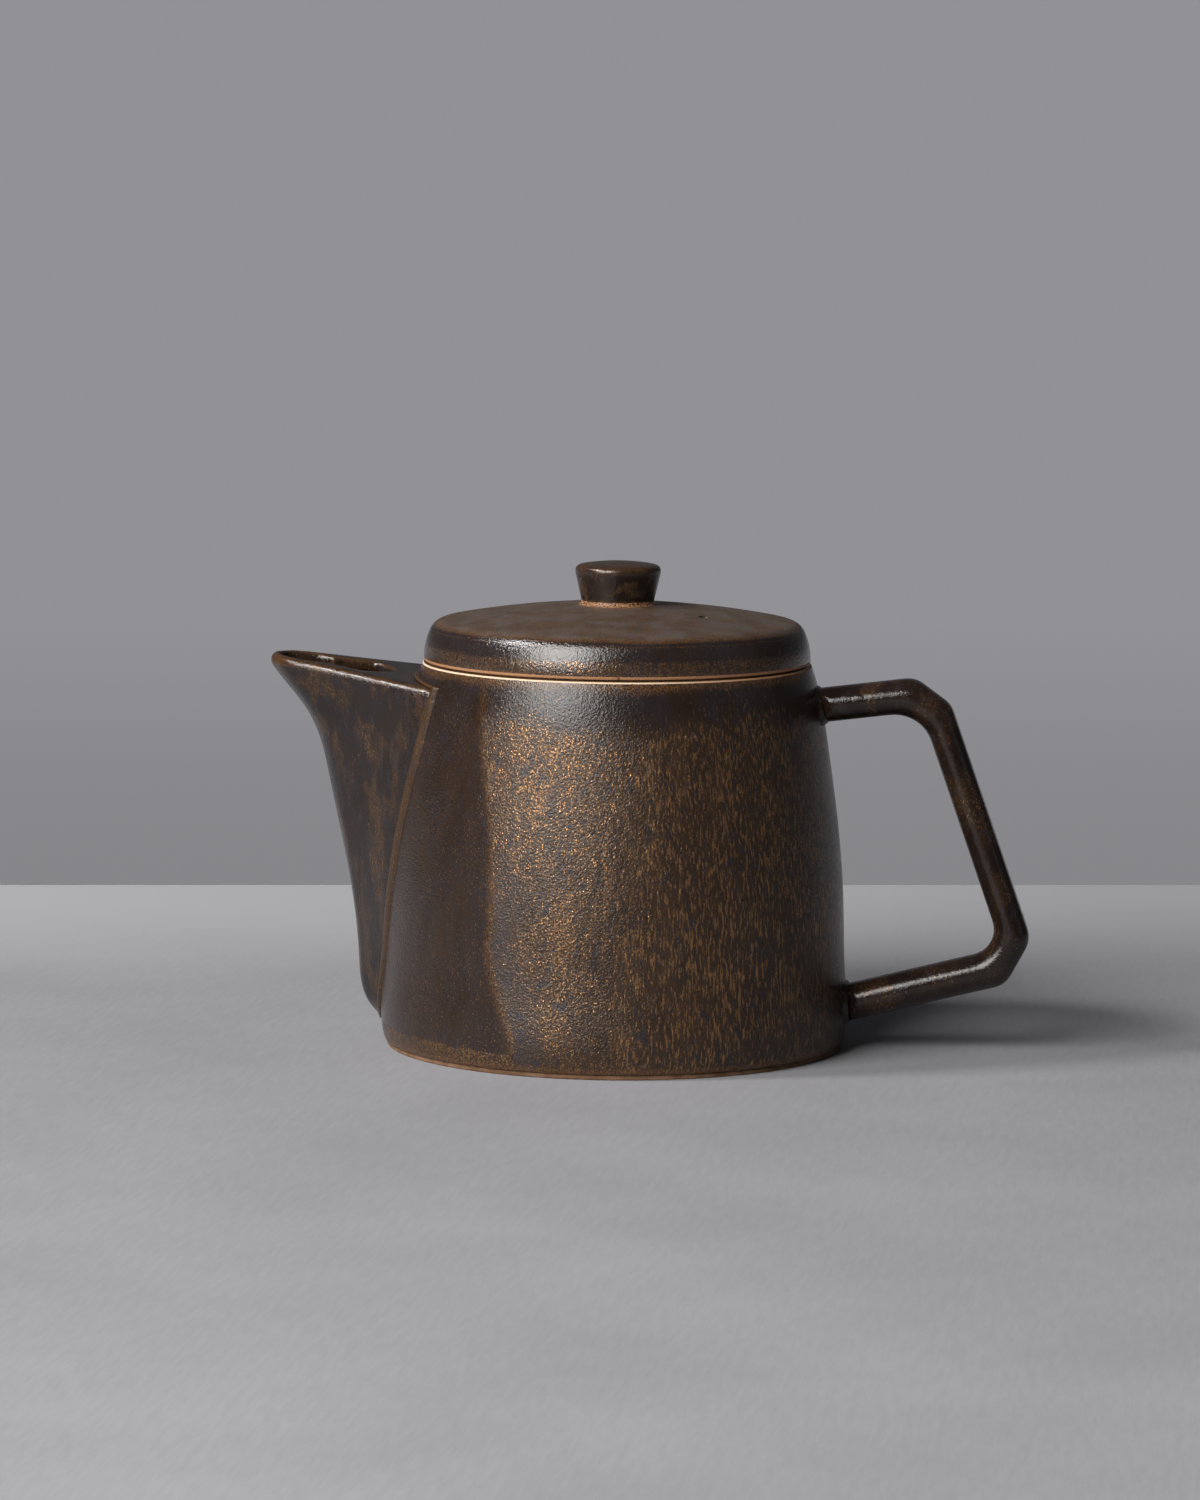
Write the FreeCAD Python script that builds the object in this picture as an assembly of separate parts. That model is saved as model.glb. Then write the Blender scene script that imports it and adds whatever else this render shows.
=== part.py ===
import FreeCAD, Part
import math
import os

# A stoneware teapot: thrown body, luted beak spout, loop handle and a drop-in lid with a knob.
# All lengths are millimetres. The origin is on the pot's axis at the table, +Z is up, the spout
# points to -X and the handle to +X.

os.makedirs("parts", exist_ok=True)

# Body wall: its outline runs from the base over the belly to the rim
rim_height = 111.6
rim_radius = 56.2
belly_radius = 67.9
belly_height = 8.0
base_inset = 1.1
wall_height_shares = (0.132, 0.34, 0.565, 0.78, 0.93)
wall_taper_shares = (0.952, 0.882, 0.711, 0.442, 0.195)
wall = 4.2
floor_thickness = 5.0
floor_round = 9.0
base_round = 0.6
rim_round = 0.9

# Mouth: a thickened throat that takes the lid's flange
mouth_radius = 49.6
mouth_depth = 9.0
throat_slope = 7.0

# Foot: a low bare ring under the glazed base
foot_height = 1.4
foot_inset = 0.7
foot_width = 7.0
foot_round = 0.4

# Spout: level sections from its foot on the wall up to a crest, which is trimmed off at the sloping top
spout_foot_height = 6.0
spout_trim = 1.9
spout_reach = 47.0
spout_nose_radius = 14.0
spout_level_shares = (0.0, 0.064, 0.165, 0.422, 0.642, 0.826, 0.936, 1.0)
spout_reach_shares = (0.017, 0.123, 0.171, 0.276, 0.442, 0.653, 0.915, 1.0)
spout_nose_shares = (0.30, 0.44, 0.57, 0.76, 0.86, 0.93, 0.985, 1.0)
spout_joint_degrees = (3.5, 8.2, 12.8, 20.9, 26.4, 31.8, 34.2, 35.0)
spout_root_depth = 6.0
spout_wall = 3.2
cover_drop = 5.0
cover_rise_degrees = 7.9
cover_thickness = 3.2
lip_width = 4.5
lip_round = 2.2
lip_inner_round = 0.9
pour_hole_length = 33.0
pour_hole_front_radius = 9.5
pour_hole_rear_radius = 14.0
spout_seam_width = 0.9
spout_seam_height = 1.0

# Strainer: a pierced dome inside the wall, over the port to the spout
port_height = 48.0
port_radius = 15.0
strainer_radius = 24.0
strainer_set_back = 6.0
strainer_thickness = 2.6
strainer_hole_radius = 1.4
strainer_rings = 4
strainer_ring_degrees = 13.0
strainer_holes_per_ring = 6

# Handle: the loop's four outer corners and the heights of its two roots, as shares of its reach and the rim
handle_stand = 53.3
handle_reach_shares = (0.713, 0.801, 1.0, 0.941)
handle_height_shares = (0.974, 0.905, 0.300, 0.181)
upper_root_share = 0.936
lower_root_share = 0.0635
handle_width = 13.0
upper_arm_thickness = 9.8
grip_thickness = 8.8
lower_arm_thickness = 10.4
handle_outer_round = 7.0
handle_upper_inner_round = 11.0
handle_lower_inner_round = 8.0
handle_edge_round = 3.4
handle_seam_width = 1.5
handle_seam_height = 1.5

# Lid: a thick domed disc that rests on the rim
lid_set_in = 0.1
lid_lean = 3.1
lid_side_height = 11.6
lid_side_bulge = 0.6
lid_crown = 5.3
lid_thickness = 4.6
lid_edge_round = 2.4
lid_foot_round = 0.7
flange_clearance = 0.6
flange_thickness = 4.5
flange_depth = 7.0
flange_round = 1.0
steam_hole_radius = 1.7
steam_hole_reach = 31.8
steam_hole_degrees = -32.0

# Knob: a flared button on the crown
knob_foot_radius = 10.3
knob_top_radius = 12.9
knob_height = 11.2
knob_crown = 1.3
knob_round = 2.2
knob_seam_radius = 1.2

# How far a cutting shape runs past what it cuts, and how near counts as touching
overrun = 1.0
touch = 0.001


def at(radius, height):
    """A point of an upright profile."""
    return FreeCAD.Vector(radius, 0, height)


def line(start, end):
    return Part.LineSegment(start, end).toShape()


def arc(start, middle, end):
    return Part.Arc(start, middle, end).toShape()


def dome_radius(radius, rise):
    """Radius of the sphere whose cap has this edge radius and rise."""
    return (radius**2 + rise**2) / (2 * rise)


def dome(radius, height, sphere_radius):
    """The upright arc of a dome centred on the axis, from its top to its edge."""
    edge_angle = math.asin(radius / sphere_radius)
    centre = at(0, height - sphere_radius * math.cos(edge_angle))
    middle = at(math.sin(edge_angle / 2), math.cos(edge_angle / 2)) * sphere_radius
    top = centre + at(0, sphere_radius)
    return Part.Arc(at(radius, height), centre + middle, top)


def spline(points):
    curve = Part.BSplineCurve()
    curve.interpolate(points)
    return curve


def polygon(points):
    return Part.Wire([line(start, end) for start, end in zip(points, points[1:] + points[:1])])


def turned(edges):
    """A solid turned about the pot's axis from one closed profile, its seam away from spout and handle."""
    profile = Part.Face(Part.Wire(edges))
    profile.rotate(FreeCAD.Vector(0, 0, 0), FreeCAD.Vector(0, 0, 1), 90)
    return profile.revolve(FreeCAD.Vector(0, 0, 0), FreeCAD.Vector(0, 0, 1), 360)


def rounded_ring(shape, radius, height, size):
    """Round the turned edge that has this radius and height."""
    ring = [
        edge
        for edge in shape.Edges
        if abs(edge.BoundBox.ZMin - height) < touch
        and abs(edge.BoundBox.ZMax - height) < touch
        and abs(math.hypot(edge.Vertexes[0].X, edge.Vertexes[0].Y) - radius) < touch
    ]
    return shape.makeFillet(size, ring)


def slip_seam(carrier, piece, radius):
    """The fillet of slip that fills the corner between a luted piece and what carries it."""
    joined = carrier.fuse(piece)
    seam = []
    for edge in joined.Edges:
        middle = Part.Vertex(edge.valueAt((edge.FirstParameter + edge.LastParameter) / 2))
        if middle.distToShape(carrier)[0] < touch and middle.distToShape(piece)[0] < touch:
            seam.append(edge)
    return joined.makeFillet(radius, seam).cut([carrier, piece], touch)


# Body
base_radius = belly_radius - base_inset


def wall_curve(depth, foot):
    """The wall's outline, moved into the clay by a depth, from the foot height to the rim."""
    points = [at(base_radius - depth, foot), at(belly_radius - depth, belly_height)]
    for height_share, taper_share in zip(wall_height_shares, wall_taper_shares):
        height = belly_height + (rim_height - belly_height) * height_share
        radius = rim_radius + (belly_radius - rim_radius) * taper_share
        points.append(at(radius - depth, height))
    points.append(at(rim_radius - depth, rim_height))
    return spline(points)


outer_curve = wall_curve(0, foot_height)


def wall_radius(height, depth=0):
    """Radius of the outer wall at a height, less a depth into the clay."""
    level = Part.LineSegment(at(0, height), at(belly_radius + overrun, height))
    return outer_curve.intersectCC(level)[0].X - depth


def pot_profile(curve):
    """A closed profile from a wall outline, filled to the axis."""
    bottom, top = curve.StartPoint, curve.EndPoint
    return [
        line(at(0, bottom.z), bottom),
        curve.toShape(),
        line(top, at(0, top.z)),
        line(at(0, top.z), at(0, bottom.z)),
    ]


def make_pot_form():
    """The whole thrown form, filled to its axis."""
    form = turned(pot_profile(outer_curve))
    form = rounded_ring(form, base_radius, foot_height, base_round)
    return rounded_ring(form, rim_radius, rim_height, rim_round)


floor_height = foot_height + floor_thickness
throat_height = rim_height - mouth_depth - throat_slope


def make_hollow():
    """The space inside the wall, up through the mouth."""
    middle_height = (floor_height + throat_height) / 2
    inner_floor = at(wall_radius(floor_height, wall), floor_height)
    inner_middle = at(wall_radius(middle_height, wall), middle_height)
    inner_throat = at(wall_radius(throat_height, wall), throat_height)
    mouth_floor = at(mouth_radius, rim_height - mouth_depth)
    mouth_top = at(mouth_radius, rim_height + overrun)
    edges = [
        line(at(0, floor_height), inner_floor),
        arc(inner_floor, inner_middle, inner_throat),
        line(inner_throat, mouth_floor),
        line(mouth_floor, mouth_top),
        line(mouth_top, at(0, rim_height + overrun)),
        line(at(0, rim_height + overrun), at(0, floor_height)),
    ]
    return rounded_ring(turned(edges), inner_floor.x, floor_height, floor_round)


pot_form = make_pot_form()
hollow = make_hollow()
port_wall_radius = wall_radius(port_height, wall)
port = Part.makeCylinder(
    port_radius,
    wall + strainer_set_back + overrun,
    FreeCAD.Vector(-port_wall_radius + strainer_set_back, 0, port_height),
    FreeCAD.Vector(-1, 0, 0),
)
pot_body = pot_form.cut(hollow).cut(port)

# Foot ring
foot_radius = base_radius - foot_inset
foot_ring = Part.makeCylinder(foot_radius, foot_height).cut(
    Part.makeCylinder(foot_radius - foot_width, foot_height)
)
foot_ring = rounded_ring(foot_ring, foot_radius, 0, foot_round)


# Strainer
def make_strainer():
    """A shell of a sphere whose edge meets the inner wall, pierced on rings about the port's axis."""
    centre = FreeCAD.Vector(-port_wall_radius - strainer_set_back, 0, port_height)
    shell = Part.makeSphere(strainer_radius, centre).cut(
        Part.makeSphere(strainer_radius - strainer_thickness, centre)
    )
    dome = shell.common(hollow)
    holes = []
    for ring in range(strainer_rings + 1):
        tilt = math.radians(ring * strainer_ring_degrees)
        count = max(1, ring * strainer_holes_per_ring)
        for index in range(count):
            turn = math.tau * index / count
            direction = FreeCAD.Vector(
                math.cos(tilt), math.sin(tilt) * math.cos(turn), math.sin(tilt) * math.sin(turn)
            )
            start = centre + direction * (strainer_radius - strainer_thickness - overrun)
            depth = strainer_thickness + overrun * 2
            holes.append(Part.makeCylinder(strainer_hole_radius, depth, start, direction))
    return dome.cut(Part.makeCompound(holes))


strainer = make_strainer()


# Spout
def cover_height(reach):
    """Height of the spout's sloping top at a distance from the axis."""
    rise = math.tan(math.radians(cover_rise_degrees))
    return rim_height - cover_drop + rise * (reach - rim_radius)


spout_crest_height = cover_height(rim_radius + spout_reach) + spout_trim


def spout_section(level, inset):
    """One level outline: a round nose, two flanks tangent to it, and a back inside the body."""
    height = spout_foot_height + (spout_crest_height - spout_foot_height) * spout_level_shares[level]
    wall_here = wall_radius(min(height, rim_height - touch))
    nose_radius = spout_nose_radius * spout_nose_shares[level]
    nose_centre = nose_radius - wall_here - spout_reach * spout_reach_shares[level]
    joint_angle = math.radians(spout_joint_degrees[level])
    joint_x = -wall_here * math.cos(joint_angle)
    joint_y = wall_here * math.sin(joint_angle)
    distance = math.hypot(joint_x - nose_centre, joint_y)
    bearing = math.atan2(joint_y, joint_x - nose_centre)
    normal = bearing + math.acos(nose_radius / distance)
    flank = FreeCAD.Vector(math.sin(normal), -math.cos(normal), 0)
    tangent = FreeCAD.Vector(
        nose_centre + (nose_radius - inset) * math.cos(normal),
        (nose_radius - inset) * math.sin(normal),
        height,
    )
    flank_length = math.sqrt(distance**2 - nose_radius**2) + spout_root_depth
    root = tangent + flank * flank_length
    nose = FreeCAD.Vector(nose_centre - nose_radius + inset, 0, height)
    mirrored_tangent = FreeCAD.Vector(tangent.x, -tangent.y, height)
    mirrored_root = FreeCAD.Vector(root.x, -root.y, height)
    return Part.Wire(
        [
            line(root, tangent),
            arc(tangent, nose, mirrored_tangent),
            line(mirrored_tangent, mirrored_root),
            line(mirrored_root, root),
        ]
    )


def under_cover(drop):
    """All space under the spout's sloping top, lowered by a drop."""
    far = belly_radius + spout_reach
    points = [
        at(0, 0),
        at(-far, 0),
        at(-far, cover_height(far) - drop),
        at(0, cover_height(0) - drop),
    ]
    side = FreeCAD.Vector(0, belly_radius, 0)
    face = Part.Face(polygon([point - side for point in points]))
    return face.extrude(side * 2)


def make_pour_hole():
    """An egg-shaped prism, narrow end to the tip, through the spout's top."""
    tip_reach = rim_radius + spout_reach
    front = -(tip_reach - lip_width) + pour_hole_front_radius
    rear = -(tip_reach - lip_width) + pour_hole_length - pour_hole_rear_radius
    lean = math.acos((pour_hole_rear_radius - pour_hole_front_radius) / (front - rear) * -1)
    height = cover_height(rim_radius) - cover_thickness - overrun
    front_x = front + pour_hole_front_radius * math.cos(lean)
    front_y = pour_hole_front_radius * math.sin(lean)
    rear_x = rear + pour_hole_rear_radius * math.cos(lean)
    rear_y = pour_hole_rear_radius * math.sin(lean)
    front_end = FreeCAD.Vector(front - pour_hole_front_radius, 0, height)
    rear_end = FreeCAD.Vector(rear + pour_hole_rear_radius, 0, height)
    outline = [
        arc(FreeCAD.Vector(front_x, front_y, height), front_end, FreeCAD.Vector(front_x, -front_y, height)),
        line(FreeCAD.Vector(front_x, -front_y, height), FreeCAD.Vector(rear_x, -rear_y, height)),
        arc(FreeCAD.Vector(rear_x, -rear_y, height), rear_end, FreeCAD.Vector(rear_x, rear_y, height)),
        line(FreeCAD.Vector(rear_x, rear_y, height), FreeCAD.Vector(front_x, front_y, height)),
    ]
    column = Part.Face(Part.Wire(outline)).extrude(FreeCAD.Vector(0, 0, spout_crest_height - height))
    return column.cut(under_cover(cover_thickness + overrun))


def edges_on_cover(beak):
    """The edges that lie in the spout's sloping top, outside the body."""
    found = []
    for edge in beak.Edges:
        ends = [edge.valueAt(edge.FirstParameter), edge.valueAt(edge.LastParameter)]
        on_cover = all(abs(end.z - cover_height(-end.x)) < touch for end in ends)
        if on_cover and min(end.x for end in ends) < -rim_radius - overrun:
            found.append(edge)
    return found


def make_beak(inset, drop):
    """The beak's filled form, set in from its outside, under its sloping top."""
    sections = [spout_section(level, inset) for level in range(len(spout_level_shares))]
    return Part.makeLoft(sections, True).common(under_cover(drop))


beak_form = make_beak(0, 0)


def make_spout():
    """The beak as a hollow shell, open to the wall that carries it, with its lip rounded."""
    channel = make_beak(spout_wall, cover_thickness)
    rounded = beak_form.makeFillet(lip_round, edges_on_cover(beak_form))
    shell = rounded.cut([pot_form, channel, make_pour_hole()], touch)
    return shell.makeFillet(lip_inner_round, edges_on_cover(shell))


def make_spout_seam():
    """The ridge of slip in the corner between the beak and the wall."""
    around_beak = make_beak(-spout_seam_width, -spout_seam_width)
    around_pot = turned(pot_profile(wall_curve(-spout_seam_height, foot_height)))
    return around_beak.common(around_pot).cut(pot_form).cut(beak_form)


spout = make_spout()
spout_seam = make_spout_seam()


# Handle
handle_reach = belly_radius + handle_stand


def handle_root(height):
    """A root of the loop, at the wall's inner side, so that the wall cuts the arm to fit."""
    return at(wall_radius(height, wall), height)


def handle_corners():
    """The loop's outer corners, in order from the upper root to the lower root."""
    corners = [
        at(handle_reach * reach_share, rim_height * height_share)
        for reach_share, height_share in zip(handle_reach_shares, handle_height_shares)
    ]
    upper_root = handle_root(rim_height * upper_root_share)
    lower_root = handle_root(rim_height * lower_root_share)
    return [upper_root] + corners + [lower_root]


def crossing(first_line, second_line):
    """Where two lines in the handle's plane meet."""
    (a, b), (c, d) = first_line, second_line
    along, across = b - a, d - c
    share = ((c.x - a.x) * across.z - (c.z - a.z) * across.x) / (along.x * across.z - along.z * across.x)
    return a + along * share


def moved_in(start, end, thickness):
    """A line of the loop's outer outline, moved towards the finger gap."""
    along = (end - start).normalize()
    inward = FreeCAD.Vector(along.z, 0, -along.x) * thickness
    return start + inward, end + inward


def rounded_wire(points, rounds):
    """A closed outline with each corner rounded by its own radius, or sharp where that is zero."""
    pieces = []
    for index, corner in enumerate(points):
        before = (points[index - 1] - corner).normalize()
        after = (points[(index + 1) % len(points)] - corner).normalize()
        half = before.getAngle(after) / 2
        reach = rounds[index] / math.tan(half)
        middle = (before + after).normalize() * rounds[index] * (1 / math.sin(half) - 1)
        pieces.append((corner + before * reach, corner + middle, corner + after * reach))
    edges = []
    for index, (enter, middle, leave) in enumerate(pieces):
        if rounds[index]:
            edges.append(arc(enter, middle, leave))
        edges.append(line(leave, pieces[(index + 1) % len(pieces)][0]))
    return Part.Wire(edges)


def make_loop(growth):
    """Two arms and a grip, as one slab bent and cut to shape, its long edges rounded, grown all over."""
    corners = handle_corners()
    sides = [moved_in(start, end, -growth) for start, end in zip(corners, corners[1:])]
    joints = [crossing(first, second) for first, second in zip(sides, sides[1:])]
    outer = [sides[0][0]] + joints + [sides[-1][1]]
    upper_line = moved_in(corners[0], corners[1], upper_arm_thickness + growth)
    grip_line = moved_in(corners[2], corners[3], grip_thickness + growth)
    lower_line = moved_in(corners[4], corners[5], lower_arm_thickness + growth)
    inner = [
        lower_line[1],
        crossing(lower_line, grip_line),
        crossing(grip_line, upper_line),
        upper_line[0],
    ]
    outer_rounds = [0] + [handle_outer_round] * len(joints) + [0]
    inner_rounds = [0, handle_lower_inner_round, handle_upper_inner_round, 0]
    half_width = handle_width / 2 + growth
    side = FreeCAD.Vector(0, half_width, 0)
    slab = Part.Face(rounded_wire(outer + inner, outer_rounds + inner_rounds))
    slab.translate(side * -1)
    slab = slab.extrude(side * 2)
    long_edges = [
        edge
        for edge in slab.Edges
        if edge.BoundBox.YLength < touch and abs(abs(edge.CenterOfMass.y) - half_width) < touch
    ]
    return slab.makeFillet(handle_edge_round, long_edges)


loop_form = make_loop(0)
handle = loop_form.cut(pot_form)


def make_handle_seams():
    """The ridges of slip round the two roots, where the loop meets the wall, lower one first."""
    around_pot = turned(pot_profile(wall_curve(-handle_seam_height, foot_height)))
    ridges = make_loop(handle_seam_width).common(around_pot).cut([pot_form, loop_form], touch)
    return sorted(ridges.Solids, key=lambda solid: solid.CenterOfMass.z)


lower_seam, upper_seam = make_handle_seams()

# Lid
lid_radius = rim_radius - lid_set_in
lid_edge_radius = lid_radius - lid_lean
lid_edge_height = rim_height + lid_side_height
lid_top_height = lid_edge_height + lid_crown
flange_radius = mouth_radius - flange_clearance
flange_inner_radius = flange_radius - flange_thickness


crown_radius = dome_radius(lid_edge_radius, lid_crown)


def crown_height(radius, depth=0):
    """Height of the domed top at a radius, or of the surface at a depth under it."""
    return lid_top_height - crown_radius + math.sqrt((crown_radius - depth) ** 2 - radius**2)


def make_lid_form():
    """The lid's disc, filled down to its seat."""
    seat = at(lid_radius, rim_height)
    shoulder = at(lid_edge_radius, lid_edge_height)
    side_middle = (seat + shoulder) / 2 + at(lid_side_bulge, 0)
    crown = dome(lid_edge_radius, lid_edge_height, crown_radius)
    edges = [
        line(at(0, rim_height), seat),
        arc(seat, side_middle, shoulder),
        crown.toShape(),
        line(crown.EndPoint, at(0, rim_height)),
    ]
    form = rounded_ring(turned(edges), lid_edge_radius, lid_edge_height, lid_edge_round)
    return rounded_ring(form, lid_radius, rim_height, lid_foot_round)


def make_lid_hollow():
    """The space under the lid's dome, inside its flange."""
    wall_foot = at(flange_inner_radius, rim_height)
    wall_top = at(flange_inner_radius, crown_height(flange_inner_radius, lid_thickness))
    crown = dome(flange_inner_radius, wall_top.z, crown_radius - lid_thickness)
    edges = [
        line(at(0, rim_height), wall_foot),
        line(wall_foot, wall_top),
        crown.toShape(),
        line(crown.EndPoint, at(0, rim_height)),
    ]
    return turned(edges)


lid_form = make_lid_form()
steam_turn = math.radians(steam_hole_degrees)
steam_place = FreeCAD.Vector(
    steam_hole_reach * math.cos(steam_turn), steam_hole_reach * math.sin(steam_turn), rim_height
)
steam_hole = Part.makeCylinder(steam_hole_radius, lid_side_height + lid_crown, steam_place)
lid = lid_form.cut(make_lid_hollow()).cut(steam_hole)

# Lid flange
flange_foot_height = rim_height - flange_depth
flange_foot = at(0, flange_foot_height)
lid_flange = Part.makeCylinder(flange_radius, flange_depth, flange_foot).cut(
    Part.makeCylinder(flange_inner_radius, flange_depth, flange_foot)
)
lid_flange = rounded_ring(lid_flange, flange_radius, flange_foot_height, flange_round)


# Knob
def make_knob():
    """The flared button, hollowed underneath to sit on the crown."""
    foot = at(knob_foot_radius, crown_height(knob_foot_radius))
    shoulder = at(knob_top_radius, foot.z + knob_height)
    seat = dome(knob_foot_radius, foot.z, crown_radius)
    crown = dome(knob_top_radius, shoulder.z, dome_radius(knob_top_radius, knob_crown))
    edges = [
        line(foot, shoulder),
        crown.toShape(),
        line(crown.EndPoint, seat.EndPoint),
        seat.toShape(),
    ]
    return rounded_ring(turned(edges), knob_top_radius, shoulder.z, knob_round)


knob = make_knob()
knob_seam = slip_seam(lid_form, knob, knob_seam_radius)

pieces = {
    "pot_body": pot_body,
    "foot_ring": foot_ring,
    "strainer": strainer,
    "spout": spout,
    "spout_seam": spout_seam,
    "handle": handle,
    "handle_upper_seam": upper_seam,
    "handle_lower_seam": lower_seam,
    "lid": lid,
    "lid_flange": lid_flange,
    "knob": knob,
    "knob_seam": knob_seam,
}
for name, shape in pieces.items():
    shape.exportStep("parts/" + name + ".step")
    print(name, "solids", len(shape.Solids), "valid", shape.isValid(), "volume", round(shape.Volume))
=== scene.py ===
import math

import bmesh
import bpy
import numpy as np
from mathutils import Matrix, Vector
from mathutils.kdtree import KDTree


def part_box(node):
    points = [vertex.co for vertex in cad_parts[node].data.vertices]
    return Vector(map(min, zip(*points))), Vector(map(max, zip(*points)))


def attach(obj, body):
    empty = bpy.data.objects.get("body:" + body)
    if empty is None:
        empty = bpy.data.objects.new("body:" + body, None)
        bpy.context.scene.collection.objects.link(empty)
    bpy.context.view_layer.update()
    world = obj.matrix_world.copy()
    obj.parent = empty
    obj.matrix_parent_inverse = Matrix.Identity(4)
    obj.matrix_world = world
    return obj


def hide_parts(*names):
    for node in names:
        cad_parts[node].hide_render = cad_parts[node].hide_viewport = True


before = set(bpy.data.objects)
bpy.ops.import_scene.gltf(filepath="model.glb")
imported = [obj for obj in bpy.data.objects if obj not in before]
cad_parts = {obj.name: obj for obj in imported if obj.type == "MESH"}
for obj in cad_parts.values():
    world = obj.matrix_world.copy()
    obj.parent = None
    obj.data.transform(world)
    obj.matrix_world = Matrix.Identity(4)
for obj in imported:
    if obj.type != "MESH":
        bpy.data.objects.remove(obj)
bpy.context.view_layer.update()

# Studio
# The pot stands on a pale painted table in front of a plain wall. One large soft light stands to the
# front left, a small one reaches over from the left, and a weak one fills in from the right.
# Camera: seen from a little to the handle's side, 1.7 m away and 0.28 m above the table.
MM = 0.001
camera_yaw = math.radians(6.5)
camera_pan = math.radians(0.160)
camera_pitch = math.radians(-6.670)
camera_roll = math.radians(0.55)
camera_distance = 1.700
camera_height = 0.2845
sensor_long_side = 36.0
photo_long_side_px = 1500
photo_focal_px = 5896

heading = camera_yaw + camera_pan
forward = Vector((
    -math.sin(heading) * math.cos(camera_pitch),
    math.cos(heading) * math.cos(camera_pitch),
    math.sin(camera_pitch),
))
level_right = Vector((math.cos(heading), math.sin(heading), 0))
level_up = level_right.cross(forward)
right = level_right * math.cos(camera_roll) + level_up * math.sin(camera_roll)
up = right.cross(forward)
camera_data = bpy.data.cameras.new("camera")
camera_data.sensor_width = sensor_long_side
camera_data.lens = sensor_long_side * photo_focal_px / photo_long_side_px
camera = bpy.data.objects.new("camera", camera_data)
turn = Matrix((right, up, -forward)).transposed().to_4x4()
place = (camera_distance * math.sin(camera_yaw), -camera_distance * math.cos(camera_yaw), camera_height)
camera.matrix_world = Matrix.Translation(place) @ turn
bpy.context.scene.collection.objects.link(camera)
bpy.context.scene.camera = camera
bpy.context.scene.view_settings.view_transform = "Standard"

light_target = Vector((0, 0, 60 * MM))


def soft_light(name, azimuth, elevation, distance, width, height, power, colour):
    """An area light aimed at the pot. Azimuth is in degrees to the right of the camera's side."""
    data = bpy.data.lights.new(name, "AREA")
    data.shape = "RECTANGLE"
    data.size = width
    data.size_y = height
    data.energy = power
    data.color = colour
    light = bpy.data.objects.new(name, data)
    side = math.radians(azimuth) + camera_yaw
    tilt = math.radians(elevation)
    aim = Vector((math.sin(side) * math.cos(tilt), -math.cos(side) * math.cos(tilt), math.sin(tilt)))
    light.location = light_target + aim * distance
    light.rotation_mode = "QUATERNION"
    light.rotation_quaternion = aim.to_track_quat("Z", "Y")
    bpy.context.scene.collection.objects.link(light)


soft_light(
    "key_light", azimuth=-38, elevation=31, distance=2.4, width=1.5, height=1.6, power=84,
    colour=(1.0, 0.985, 0.96),
)
soft_light(
    "left_light", azimuth=-78, elevation=46, distance=2.0, width=0.3, height=0.3, power=22,
    colour=(1.0, 1.0, 1.0),
)
soft_light(
    "fill_light", azimuth=80, elevation=22, distance=2.0, width=0.5, height=1.2, power=0.4,
    colour=(0.93, 0.96, 1.0),
)


def join(value, socket):
    """Joins an output to a socket, or writes a plain value there."""
    if isinstance(value, bpy.types.NodeSocket):
        socket.id_data.links.new(value, socket)
    else:
        socket.default_value = value


def add(tree, kind, values=None, **settings):
    """A new node: its settings are made first, then its inputs are joined or filled by their labels."""
    node = tree.nodes.new(kind)
    for label, value in settings.items():
        setattr(node, label, value)
    for label, value in (values or {}).items():
        join(value, node.inputs[label])
    return node


def compute(tree, kind, operation, *values):
    """A math node with its inputs in order. Gives its outputs."""
    return add(tree, kind, dict(enumerate(values)), operation=operation).outputs


# The wall is seen by the camera all round, and mirrored in the glaze only where it stands, behind.
room_colour = (0.30, 0.31, 0.33, 1)
room_strength = 0.14
wall_grey = (0.285, 0.283, 0.303, 1)
mirror_start = 0.65
mirror_full = 0.95
mirror_share = 0.15

world = bpy.data.worlds.new("room")
bpy.context.scene.world = world
world.use_nodes = True
room = world.node_tree
air = room.nodes["Background"]
join(room_colour, air.inputs["Color"])
join(room_strength, air.inputs["Strength"])
wall = add(room, "ShaderNodeBackground", {"Color": wall_grey})
path = add(room, "ShaderNodeLightPath").outputs
direction = add(room, "ShaderNodeTexCoord").outputs["Generated"]
backwards = add(room, "ShaderNodeSeparateXYZ", {0: direction}).outputs["Y"]
behind = add(room, "ShaderNodeMapRange", {
    "Value": backwards, "From Min": mirror_start, "From Max": mirror_full, "To Max": mirror_share,
}).outputs["Result"]
mirrored = compute(room, "ShaderNodeMath", "MULTIPLY", path["Is Glossy Ray"], behind)[0]
shown = compute(room, "ShaderNodeMath", "MAXIMUM", path["Is Camera Ray"], mirrored)[0]
choice = add(room, "ShaderNodeMixShader", {"Fac": shown, 1: air.outputs[0], 2: wall.outputs[0]})
join(choice.outputs[0], room.nodes["World Output"].inputs["Surface"])


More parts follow.
